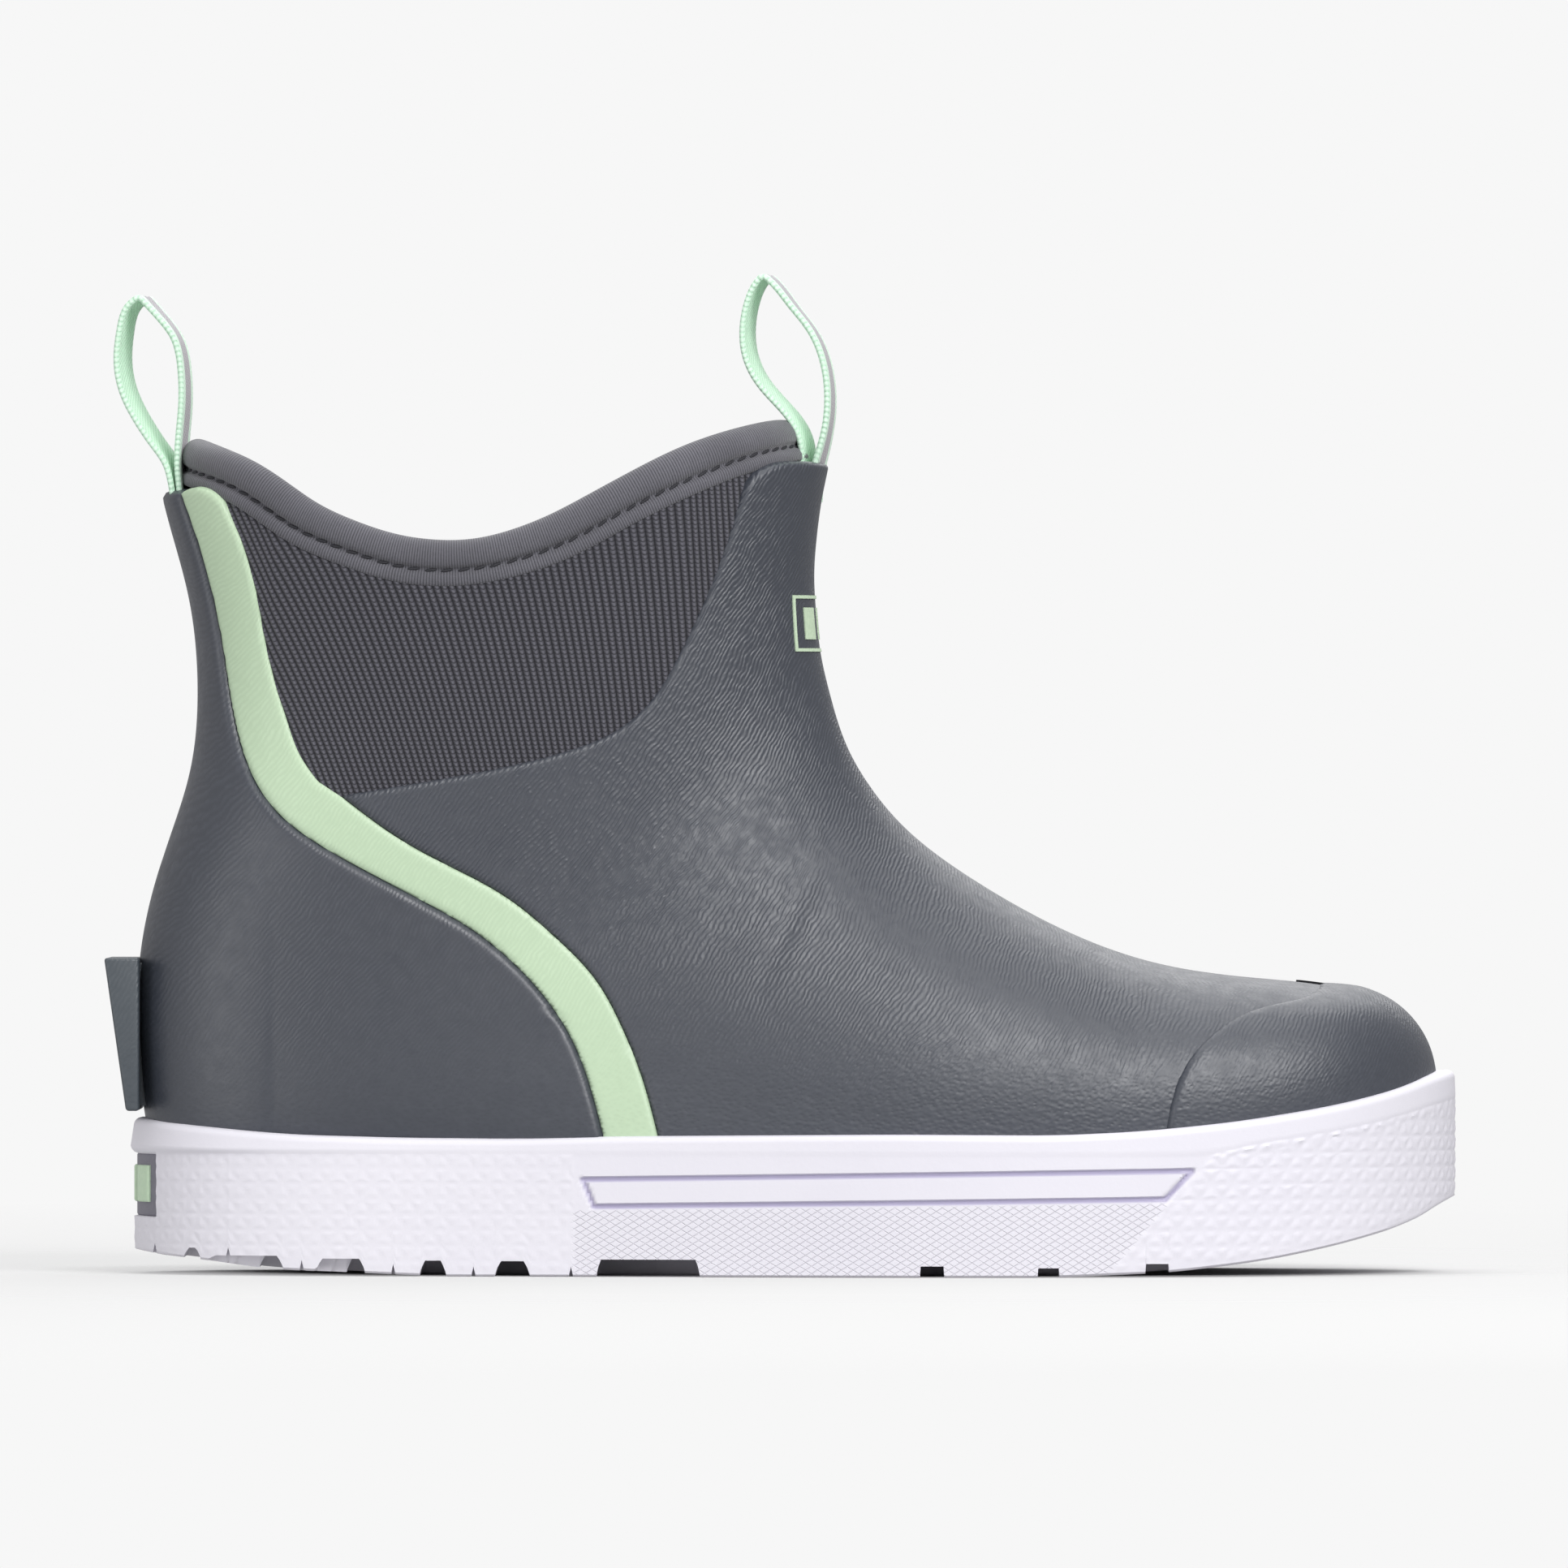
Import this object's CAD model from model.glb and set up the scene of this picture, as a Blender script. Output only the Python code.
import math
import bpy
import numpy as np
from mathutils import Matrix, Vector
from mathutils.bvhtree import BVHTree


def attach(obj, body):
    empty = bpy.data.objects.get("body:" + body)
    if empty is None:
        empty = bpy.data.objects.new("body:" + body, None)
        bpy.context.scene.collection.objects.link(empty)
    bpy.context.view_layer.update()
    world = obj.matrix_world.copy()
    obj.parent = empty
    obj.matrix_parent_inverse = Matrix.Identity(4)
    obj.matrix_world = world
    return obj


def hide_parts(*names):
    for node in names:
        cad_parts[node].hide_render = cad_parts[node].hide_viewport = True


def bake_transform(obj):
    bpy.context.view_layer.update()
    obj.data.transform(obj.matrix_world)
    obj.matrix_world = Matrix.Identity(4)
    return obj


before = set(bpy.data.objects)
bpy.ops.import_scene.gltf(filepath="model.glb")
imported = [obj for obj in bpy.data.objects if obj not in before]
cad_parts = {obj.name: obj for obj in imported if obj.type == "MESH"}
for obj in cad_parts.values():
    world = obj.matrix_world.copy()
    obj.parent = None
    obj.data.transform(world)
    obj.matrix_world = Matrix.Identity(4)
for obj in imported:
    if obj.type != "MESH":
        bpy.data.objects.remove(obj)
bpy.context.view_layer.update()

MM = 0.001                # the shapes below are worked out in millimetres

# ---------------- node trees


class Wire:
    """A shader value: sums and products of wires become math nodes."""

    def __init__(self, recipe, socket):
        self.recipe, self.socket = recipe, socket

    def __add__(self, other):
        return self.recipe.math("ADD", self, other)

    def __mul__(self, other):
        return self.recipe.math("MULTIPLY", self, other)

    def __rsub__(self, other):
        return self.recipe.math("SUBTRACT", other, self)

    def sine(self):
        return self.recipe.math("SINE", self)

    def hump(self):
        """Size of the sine: one hump for each half turn."""
        return self.recipe.math("ABSOLUTE", self.sine())


class Recipe:
    """Short names for building the node tree of a material or of the world."""

    def __init__(self, owner, space="Object"):
        owner.use_nodes = True
        self.owner, self.tree = owner, owner.node_tree
        self.place = self.add("ShaderNodeTexCoord", space)

    def feed(self, socket, value):
        """Links a wire to a socket, or sets the socket to a value. None leaves it alone."""
        if isinstance(value, Wire):
            self.tree.links.new(value.socket, socket)
        elif value is not None:
            socket.default_value = (*value, 1.0) if socket.type == "RGBA" else value

    def feed_named(self, node, inputs):
        for key, value in inputs.items():
            self.feed(node.inputs[key.replace("_", " ")], value)

    def add(self, kind, output=0, values=(), settings=None, **inputs):
        """Adds a node and returns one of its outputs."""
        node = self.tree.nodes.new(kind)
        for key, value in (settings or {}).items():
            setattr(node, key, value)
        for socket, value in zip(node.inputs, values):
            self.feed(socket, value)
        self.feed_named(node, inputs)
        return Wire(self, node.outputs[output])

    def axes(self):
        """X, Y and Z of the place, in metres."""
        split = self.add("ShaderNodeSeparateXYZ", Vector=self.place).socket.node
        return [Wire(self, socket) for socket in split.outputs]

    def noise(self, scale, detail=3.0, rough=0.55):
        return self.add("ShaderNodeTexNoise", "Fac", Vector=self.place, Scale=scale,
                        Detail=detail, Roughness=rough)

    def math(self, how, *values):
        return self.add("ShaderNodeMath", 0, values, {"operation": how})

    def vector_math(self, how, *values, output="Vector"):
        return self.add("ShaderNodeVectorMath", output, values, {"operation": how})

    def span(self, value, low, high, to_low=0.0, to_high=1.0):
        return self.add("ShaderNodeMapRange", 0, (value, low, high, to_low, to_high))

    def attribute(self, name):
        return self.add("ShaderNodeAttribute", "Fac", settings={"attribute_name": name})

    def blend(self, share, low, high):
        return self.add("ShaderNodeMix", 2, (share, *[None] * 5, low, high),
                        {"data_type": "RGBA"})

    def bump(self, height, distance, strength, under=None):
        return self.add("ShaderNodeBump", "Normal", Height=height, Distance=distance,
                        Strength=strength, Normal=under)

    def finish(self, colour, roughness, normal, **constants):
        self.feed_named(self.tree.nodes["Principled BSDF"],
                        {"Base_Color": colour, "Roughness": roughness, "Normal": normal,
                         **constants})
        return self.owner


def new_material(name):
    return Recipe(bpy.data.materials.new(name))


# ---------------- curves


def run_length(points):
    """Length along a line of points, measured from its start."""
    return np.concatenate([[0], np.cumsum(np.linalg.norm(np.diff(points, axis=0), axis=1))])


def read_along(places, knots, values):
    """Each column of values, read at places along its knots."""
    return np.stack([np.interp(places, knots, column) for column in values.T], 1)


def unit(vectors):
    return vectors / np.maximum(np.linalg.norm(vectors, axis=-1, keepdims=True), 1e-9)


def spline(knots, values, at):
    """Natural cubic spline through values (one row per knot), read at any places."""
    knots, values = np.asarray(knots, float), np.asarray(values, float)
    step = np.diff(knots)
    system, right = np.eye(len(knots)), np.zeros(values.shape)
    for i in range(1, len(knots) - 1):
        system[i, i - 1:i + 2] = step[i - 1], 2 * (step[i - 1] + step[i]), step[i]
        right[i] = 6 * ((values[i + 1] - values[i]) / step[i]
                        - (values[i] - values[i - 1]) / step[i - 1])
    bend = np.linalg.solve(system, right)       # second derivatives at the knots
    at = np.clip(np.asarray(at, float), knots[0], knots[-1])
    cell = np.clip(np.searchsorted(knots, at, side="right") - 1, 0, len(knots) - 2)
    step = knots[cell + 1] - knots[cell]
    right = (at - knots[cell]) / step
    shape = (...,) + (None,) * (values.ndim - 1)
    step, left, right = step[shape], 1 - right[shape], right[shape]
    return (left * values[cell] + right * values[cell + 1]
            + ((left ** 3 - left) * bend[cell] + (right ** 3 - right) * bend[cell + 1])
            * step ** 2 / 6)


def curve_through(points, count):
    """Smooth open curve through points, as count evenly spaced points."""
    points = np.asarray(points, float)
    if len(points) == 2:
        return points[0] + np.linspace(0, 1, count)[:, None] * (points[1] - points[0])
    knots = run_length(points)
    dense = spline(knots, points, np.linspace(0, knots[-1], 12 * count))
    length = run_length(dense)
    return read_along(np.linspace(0, length[-1], count), length, dense)


def ring_through(points, count):
    """Smooth closed curve through points, as count evenly spaced points."""
    points = np.asarray(points, float)
    wrap = 4
    laps = np.concatenate([points[-wrap:], points, points[:wrap + 1]])
    knots = run_length(laps)
    dense = spline(knots, laps, np.linspace(knots[wrap], knots[wrap + len(points)],
                                            12 * count + 1))
    length = run_length(dense)
    return read_along(np.linspace(0, length[-1], count, endpoint=False), length, dense)


def bisect(low, high, before):
    """Where a test on arrays turns from true to false, between low and high."""
    for _ in range(40):
        middle = (low + high) / 2
        short = before(middle)
        low, high = np.where(short, middle, low), np.where(short, high, middle)
    return (low + high) / 2


def outline(*runs):
    """Closed outline: smooth runs of points joined by straight lines."""
    return np.concatenate([curve_through(run, 6 * len(run) if len(run) > 2 else 2)
                           for run in runs])


def inside_depth(x, z, polygon):
    """Distance from each point to the outline, positive inside it."""
    shape = x.shape
    x, z = x.ravel(), z.ravel()
    nearest = np.full(x.shape, 1e12)
    odd = np.zeros(x.shape, bool)
    for (ax, az), (bx, bz) in zip(polygon, np.roll(polygon, -1, axis=0)):
        ex, ez = bx - ax, bz - az
        size = ex * ex + ez * ez
        if size < 1e-12:
            continue
        part = np.clip(((x - ax) * ex + (z - az) * ez) / size, 0, 1)
        nearest = np.minimum(nearest, (x - ax - part * ex) ** 2 + (z - az - part * ez) ** 2)
        if abs(ez) > 1e-12:
            odd ^= ((az > z) != (bz > z)) & (x < ax + (z - az) * ex / ez)
    return (np.sqrt(nearest) * np.where(odd, 1, -1)).reshape(shape)


# ---------------- meshes


def add_object(name, data):
    thing = bpy.data.objects.new(name, data)
    bpy.context.collection.objects.link(thing)
    return thing


def grid_faces(rows, columns, closed=True, flip=False):
    """Quads of a grid, numbered row by row."""
    i, j = np.meshgrid(np.arange(rows - 1), np.arange(columns if closed else columns - 1),
                       indexing="ij")
    right = (j + 1) % columns
    quads = np.stack([i * columns + j, i * columns + right, (i + 1) * columns + right,
                      (i + 1) * columns + j], -1).reshape(-1, 4)
    return quads[:, ::-1] if flip else quads


def bridge(first, second):
    """Quads between two closed rows of point numbers."""
    return np.stack([first, np.roll(first, -1), np.roll(second, -1), second], 1).tolist()


def grid_normals(points):
    """Outward unit normals of a grid of points whose columns close on themselves."""
    across = np.roll(points, -1, axis=1) - np.roll(points, 1, axis=1)
    return unit(np.cross(across, np.gradient(points, axis=0)))


def clip(points, faces, keep):
    """Cuts a mesh to where keep is positive. Returns where its points come from, as (first,
    second, share), and its polygons."""
    good = keep[faces] > 0
    whole = faces[good.all(1)]
    crossed = faces[good.any(1) & ~good.all(1)]
    blends, cut, loops = [], {}, []
    count = len(points)
    for face in crossed.tolist():
        loop = []
        for a, b in zip(face, face[1:] + face[:1]):
            if keep[a] > 0:
                loop.append(a)
            if (keep[a] > 0) != (keep[b] > 0):
                key = (a, b) if a < b else (b, a)
                if key not in cut:
                    cut[key] = count + len(blends)
                    blends.append((*key, keep[key[0]] / (keep[key[0]] - keep[key[1]])))
                loop.append(cut[key])
        if len(loop) > 2:
            loops.append(loop)
    used = np.zeros(count + len(blends), bool)
    used[whole.ravel()] = True
    for loop in loops:
        used[loop] = True
    fresh = np.cumsum(used) - 1
    own = np.arange(count)
    blend = [np.concatenate([base, [b[k] for b in blends]])[used]
             for k, base in enumerate((own, own, np.zeros(count)))]
    polygons = [tuple(f) for f in fresh[whole].tolist()] + [tuple(fresh[l]) for l in loops]
    return (blend[0].astype(int), blend[1].astype(int), blend[2]), polygons


def mixed(values, blend):
    """Values at the points that clip made."""
    first, second, share = blend
    share = share.reshape((-1,) + (1,) * (values.ndim - 1))
    return values[first] * (1 - share) + values[second] * share


def thickened(points, polygons, normals, depth):
    """Closes a sheet into a shell: adds an inner copy, depth below, and a rim."""
    count = len(points)
    edges = {edge for polygon in polygons for edge in zip(polygon, polygon[1:] + polygon[:1])}
    rim = [(b, a, a + count, b + count) for a, b in sorted(edges) if (b, a) not in edges]
    inner = [tuple(v + count for v in polygon[::-1]) for polygon in polygons]
    return np.concatenate([points, points - normals * depth]), polygons + inner + rim


def make(name, points, polygons, material, body, values=None, angle=None, node=None):
    """Makes a mesh object from millimetres. It rides on a body and may replace a CAD node."""
    mesh = bpy.data.meshes.new(name)
    mesh.from_pydata((np.asarray(points) * MM).tolist(), [], [tuple(map(int, p)) for p in polygons])
    mesh.validate()
    for key, value in (values or {}).items():
        attribute = mesh.attributes.new(key, "FLOAT", "POINT")
        attribute.data.foreach_set("value", np.asarray(value, np.float32))
    for entry in material if isinstance(material, list) else [material]:
        mesh.materials.append(entry)
    mesh.polygons.foreach_set("use_smooth", [True] * len(mesh.polygons))
    if angle:
        mesh.set_sharp_from_angle(angle=math.radians(angle))
    piece = add_object(name, mesh)
    if body:
        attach(piece, body)
    if node:
        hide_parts(node)
    return piece


def rounded(depth, radius):
    """How far a rounded edge drops below its face at a distance from the edge."""
    near = np.clip(depth, 0, radius)
    return radius - np.sqrt(np.maximum(radius ** 2 - (radius - near) ** 2, 0))


# ---------------- camera, light and floor

VIEW_HEIGHT = 0.108       # the lens looks level, at about half the boot's height
VIEW_SIDE = 0.0005        # it stands this far to the right of the boot's middle
VIEW_DISTANCE = 5.0
VIEW_LENS = 519.5
BACKDROP = 0.93           # brightness of the white that the camera sees
SURROUND_LEFT, SURROUND_RIGHT = 0.57, 0.38
FLOOR_TONE = 0.60
FLOOR_RADIUS = 1.6
FLOOR_DEPTH = 0.40        # how solid the paper is beside the boot
CORE_CENTRE, CORE_HALF = (0.010, 0.035), (0.155, 0.085)   # the paper is whole in this oval
# Large soft square lights: name, place, aim, size and power.
LIGHTS = [("top_softbox", (0.0, 0.25, 1.3), (0, 0, 0.05), 1.3, 10.5),
          ("front_softbox", (0.54, -1.12, 0.88), (0.03, 0, 0.08), 0.8, 18.5),
          ("rear_softbox", (0.25, 1.0, 0.75), (0.03, 0, 0.08), 0.8, 4.0),
          ("left_bounce", (-1.0, -0.9, 0.14), (-0.13, 0, 0.04), 0.7, 3.0)]


def place_camera():
    camera = add_object("camera", bpy.data.cameras.new("camera"))
    camera.location = (VIEW_SIDE, -VIEW_DISTANCE, VIEW_HEIGHT)
    camera.rotation_euler = (math.radians(90), 0, 0)
    camera.data.lens = VIEW_LENS
    camera.data.sensor_width = 36
    camera.data.clip_end = 100
    bpy.context.scene.camera = camera
    bpy.context.scene.view_settings.view_transform = "Standard"


def area_light(name, place, aim, size, power):
    data = bpy.data.lights.new(name, "AREA")
    data.shape = "SQUARE"
    data.size = size
    data.energy = power
    lamp = add_object(name, data)
    lamp.location = place
    lamp.rotation_euler = (Vector(aim) - Vector(place)).to_track_quat("-Z", "Y").to_euler()


def surround():
    """White for the camera, and for the boot a soft light that is stronger from the left."""
    world = bpy.data.worlds.new("studio")
    bpy.context.scene.world = world
    r = Recipe(world, "Generated")
    strength = r.span(r.axes()[0], -1.0, 1.0, SURROUND_LEFT, SURROUND_RIGHT)
    light = r.add("ShaderNodeBackground", Color=(1.0, 0.995, 1.0), Strength=strength)
    seen = r.add("ShaderNodeBackground", Color=(BACKDROP,) * 3)
    to_camera = r.add("ShaderNodeLightPath", "Is Camera Ray")
    mix = r.add("ShaderNodeMixShader", 0, (to_camera, light, seen))
    r.feed_named(r.tree.nodes["World Output"], {"Surface": mix})


def paper():
    """Pale paper that turns clear away from the boot, so that no horizon shows."""
    r = new_material("floor_paper")
    tone = r.span(r.noise(3.0, 2.0, 0.5), 0.0, 1.0, FLOOR_TONE - 0.005, FLOOR_TONE + 0.005)
    away = r.vector_math("LENGTH", r.place, output="Value")
    fade = r.span(away, 0.22, 0.85, FLOOR_DEPTH, 0.0)
    scale = (1 / CORE_HALF[0], 1 / CORE_HALF[1], 0)
    shift = (-CORE_CENTRE[0] / CORE_HALF[0], -CORE_CENTRE[1] / CORE_HALF[1], 0)
    oval = r.vector_math("MULTIPLY_ADD", r.place, scale, shift)
    core = r.span(r.vector_math("LENGTH", oval, output="Value"), 0.85, 1.35, 1.0, 0.0)
    return r.finish(tone, 0.9, None, Specular_IOR_Level=0.0, Alpha=r.math("MAXIMUM", fade, core))


def build_floor():
    rings, spokes = 24, 96
    turn = np.arange(spokes) * 2 * np.pi / spokes
    circle = np.stack([np.cos(turn), np.sin(turn), np.zeros(spokes)], 1)
    steps = FLOOR_RADIUS * np.arange(1, rings + 1) / rings
    points = np.concatenate([np.zeros((1, 3)), (steps[:, None, None] * circle).reshape(-1, 3)])
    ring = np.arange(1, spokes + 1)
    faces = [(0, a, b) for a, b in zip(ring.tolist(), np.roll(ring, -1).tolist())]
    mesh = bpy.data.meshes.new("floor")
    mesh.from_pydata(points.tolist(), [],
                     faces + (grid_faces(rings, spokes, flip=True) + 1).tolist())
    mesh.materials.append(paper())
    floor = add_object("floor", mesh)


place_camera()
surround()
for light in LIGHTS:
    area_light(*light)
build_floor()

# ---------------- the foot shape

# Girth sections from toe to collar, each in the plane through its front point, its rear point and
# the Y direction: front x, z, rear x, z, centre y, inner and outer half width, widest place from
# front to rear, roundness of the front and rear halves, and how far the lining leans away from the
# rubber at the front and the rear.
GIRTHS = np.array([
    (140.5, 25.5, 116.0, 19.5, 5.0, 28.5, 31.0, 0.96, 2.0, 6.0, 0.0, 0.0),
    (143.4, 38.0, 112.0, 19.5, 5.0, 33.2, 36.2, 0.94, 2.0, 6.0, 0.0, 0.0),
    (141.9, 50.0, 107.0, 19.5, 5.0, 35.8, 39.5, 0.88, 2.1, 6.0, 0.0, 0.0),
    (134.0, 59.3, 101.0, 19.5, 4.8, 38.4, 42.4, 0.82, 2.3, 6.0, 0.0, 0.0),
    (121.0, 63.4, 94.0, 19.5, 4.5, 40.8, 45.0, 0.78, 2.5, 6.0, 0.0, 0.0),
    (103.0, 65.3, 83.0, 19.5, 4.3, 43.2, 47.6, 0.76, 2.5, 6.0, 0.0, 0.0),
    (84.7, 68.0, 69.0, 19.5, 3.8, 45.4, 49.4, 0.76, 2.4, 6.0, 0.0, 0.0),
    (63.8, 75.1, 48.0, 19.5, 2.8, 46.2, 49.8, 0.76, 2.3, 6.0, 0.0, 0.0),
    (43.9, 85.9, 22.0, 19.5, 1.5, 44.0, 49.0, 0.76, 2.1, 6.0, 0.0, 0.0),
    (29.1, 96.6, -10.0, 19.5, 0.0, 40.0, 45.0, 0.74, 2.0, 5.5, 0.0, 0.0),
    (19.5, 107.5, -50.0, 19.5, -0.5, 36.5, 40.0, 0.68, 2.0, 5.0, 0.0, 0.0),
    (13.7, 118.1, -95.0, 19.5, -0.5, 35.5, 36.5, 0.60, 2.1, 4.0, 0.0, 0.0),
    (10.5, 128.5, -132.5, 22.0, 0.0, 35.0, 35.5, 0.55, 2.2, 2.8, 0.0, 0.0),
    (8.6, 137.0, -139.6, 45.0, 0.0, 35.0, 35.0, 0.52, 2.2, 2.7, 0.0, 0.0),
    (7.6, 146.0, -140.6, 68.0, 0.0, 35.0, 35.0, 0.50, 2.2, 2.6, 0.0, 0.0),
    (7.2, 154.0, -136.4, 90.0, 0.0, 35.0, 35.0, 0.50, 2.2, 2.5, 0.2, 0.0),
    (7.6, 161.0, -130.8, 107.3, 0.0, 35.0, 35.0, 0.50, 2.2, 2.4, 0.8, 0.0),
    (8.9, 171.0, -128.3, 126.0, 0.0, 35.5, 35.5, 0.50, 2.2, 2.3, 2.4, 0.0),
    (10.7, 180.0, -130.0, 148.0, 0.0, 36.5, 36.5, 0.50, 2.2, 2.3, 4.2, 0.2),
    (12.0, 191.0, -135.7, 170.0, 0.0, 37.5, 37.5, 0.50, 2.2, 2.3, 10.0, 2.5),
    (13.0, 202.0, -139.0, 189.0, 0.0, 38.5, 38.5, 0.50, 2.2, 2.3, 14.0, 9.0),
])
_steps = np.linalg.norm(np.diff(GIRTHS[:, :4].reshape(-1, 2, 2), axis=0), axis=2).mean(1)
GIRTH_KNOTS = np.concatenate([[0], np.cumsum(_steps)])
GIRTH_END = GIRTH_KNOTS[-1]


def foot_point(station, turn, grow=0.0, lean=0.0):
    """Points of the foot shape. station runs from toe to collar, turn from -pi to pi round the
    section, 0 at its front and positive on the inner side."""
    row = spline(GIRTH_KNOTS, GIRTHS, station)
    fx, fz, rx, rz, centre, inner, outer, widest, round_front, round_rear, lf, lr = (
        row[..., i] for i in range(12))
    length = np.hypot(rx - fx, rz - fz)
    near = -grow + lean * lf
    far = length + grow - lean * lr
    middle = -grow + (length + 2 * grow) * widest
    along = np.cos(turn)
    ahead = along >= 0
    power = 2 / np.where(ahead, round_front, round_rear)
    place = np.where(ahead, near + (middle - near) * (1 - np.abs(along) ** power),
                     middle + (far - middle) * np.abs(along) ** power)
    width = (np.where(turn >= 0, inner, outer) + grow) * np.abs(np.sin(turn)) ** power
    return np.stack([fx + (rx - fx) * place / length, centre + np.where(turn >= 0, width, -width),
                     fz + (rz - fz) * place / length], -1)


def foot_grid(rows, half, spread=721):
    """Stations and turns of an even grid over the foot shape: rows sections, half steps a side."""
    stations = np.linspace(0.0, GIRTH_END, rows)
    turns = np.zeros((rows, 2 * half))
    dense = np.linspace(0, np.pi, spread)
    for side in (1, -1):
        sections = foot_point(np.repeat(stations[:, None], spread, 1), side * dense[None, :])
        for i, section in enumerate(sections):
            length = run_length(section)
            even = np.interp(np.linspace(0, length[-1], half + 1), length, dense)
            if side > 0:
                turns[i, :half + 1] = even
            else:
                turns[i, half + 1:] = -even[1:-1][::-1]
    return np.repeat(stations[:, None], 2 * half, 1), turns


# ---------------- outlines seen from the side

STRIPE_FRONT = [(-96.5, 105.0), (-83.1, 95.4), (-72.3, 89.6), (-60.9, 83.4), (-49.5, 74.2),
                (-40.9, 65.1), (-35.2, 54.8), (-30.7, 43.5), (-27.3, 30.9)]
STRIPE_REAR = [(-132.8, 172.0), (-128.5, 159.6), (-123.5, 138.4), (-119.5, 117.3), (-116.6, 109.8),
               (-111.5, 102.4), (-100.8, 94.2), (-89.4, 87.9), (-78.0, 81.9), (-67.7, 75.9),
               (-58.1, 68.0), (-50.6, 59.4), (-45.5, 50.8), (-42.1, 41.7), (-39.2, 30.9)]
WINDOW_REAR = [(-123.4, 169.9), (-119.6, 162.0), (-116.9, 153.6), (-114.4, 141.0),
               (-111.6, 129.4), (-108.7, 120.7), (-105.8, 113.8), (-102.0, 108.6)]
WINDOW_FRONT = [(-97.5, 105.4), (-73.8, 109.3), (-47.1, 115.2), (-36.9, 119.3), (-28.9, 125.8),
                (-22.1, 136.7), (-15.2, 151.5), (-10.6, 164.1), (-8.3, 171.1)]
VAMP_TAB = [(-8.3, 171.1), (-6.6, 174.6), (-3.7, 177.0), (0.5, 178.5), (6.0, 178.7), (14.0, 178.4)]
CAP_EDGE = [(83.6, 26.0), (84.3, 32.6), (88.3, 46.0), (96.5, 54.6), (109.0, 59.8), (117.6, 62.9),
            (120.5, 72.0)]
BINDING_SEAM = [(-140.0, 180.6), (-131.2, 177.2), (-119.5, 172.3), (-108.1, 164.7), (-96.7, 159.6),
                (-85.2, 156.0), (-76.7, 154.9), (-68.1, 155.2), (-56.7, 157.6), (-47.1, 161.1),
                (-36.4, 166.8), (-18.5, 175.6), (-1.9, 181.7), (12.0, 184.4)]

FAR = 170.0
vamp_outline = outline(STRIPE_FRONT[::-1], WINDOW_FRONT, VAMP_TAB, [(40.0, 178.0), (FAR, 120.0)],
                       [(FAR, 0.0), (-27.3, 0.0)])
heel_outline = outline(STRIPE_REAR, [(-39.2, 0.0), (-FAR, 0.0)], [(-FAR, 172.4), (-134.5, 172.4)])
stripe_outline = outline(STRIPE_REAR[::-1],
                         [(-132.8, 172.0), (-130.6, 173.0), (-128.0, 172.9), (-125.6, 171.9),
                          (-123.4, 169.9)],
                         WINDOW_REAR[1:], STRIPE_FRONT, [(-27.3, 0.0), (-39.2, 0.0)])
window_outline = outline(WINDOW_REAR, WINDOW_FRONT, [(-6.0, 182.0), (-124.0, 182.0)])
slit_outline = np.array([(113.6, 60.0), (113.6, 70.0), (121.6, 70.0), (121.6, 60.0)])
cap_outline = outline(CAP_EDGE, [(120.5, 80.0), (FAR, 80.0)], [(FAR, 0.0), (83.6, 0.0)])


def seam_height(x):
    """Height of the seam between the collar's binding and what is below it."""
    return spline(*np.array(BINDING_SEAM).T, np.clip(x, BINDING_SEAM[0][0], BINDING_SEAM[-1][0]))


# ---------------- materials

RIPPLE_PITCH, HATCH_PITCH, HATCH_SLOPE = 0.00088, 0.0026, 1.62      # pitches in metres
LOOP_PITCH, PICK_PITCH, WARP_PITCH = 0.95, 1.15, 0.8      # in millimetres, as 'run' and 'cross'


def rubber(name, low, high, roughness, grain):
    """Moulded rubber with a fine slanting ripple that breaks up into small cells near the sole."""
    r = new_material(name)
    bend = r.noise(24.0, 2.0)
    x, y, z = r.axes()
    across = x * 0.78 + (z * -0.58 + y * 0.25)
    phase = across * (2 * math.pi / RIPPLE_PITCH) + r.noise(260.0, 2.0) * 11.0
    wave = r.span((phase + bend * 60.0).sine(), -1.0, 1.0)
    ripple = wave * r.span(r.noise(520.0, 2.0), 0.35, 0.65, 0.35, 1.0)
    tilted = r.add("ShaderNodeMapping", Vector=r.place, Scale=(0.8, 1.0, 1.25),
                   Rotation=(0, math.radians(20), 0))
    cell = r.add("ShaderNodeTexVoronoi", "Distance", settings={"feature": "SMOOTH_F1"},
                 Vector=tilted, Scale=1050.0)
    share = r.span(z + bend * 0.02, 0.045, 0.075)
    grainy = ripple * share + cell * (1.0 - share)
    patch = r.span(r.noise(22.0, 2.0), 0.40, 0.60, 0.7, 1.0)
    normal = r.bump(grainy * patch, 0.00024 * grain, 0.65)
    normal = r.bump(r.noise(48.0, 2.0), 0.0008 * grain, 0.07, normal)
    tint = r.noise(9.0, 4.0) * 0.5 + grainy * 0.5
    colour = r.blend(r.span(tint, 0.25, 0.75), low, high)
    gloss = r.span(r.noise(300.0, 3.0), 0.3, 0.7, roughness - 0.04, roughness + 0.06)
    return r.finish(colour, gloss, normal, Specular_IOR_Level=0.8)


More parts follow.
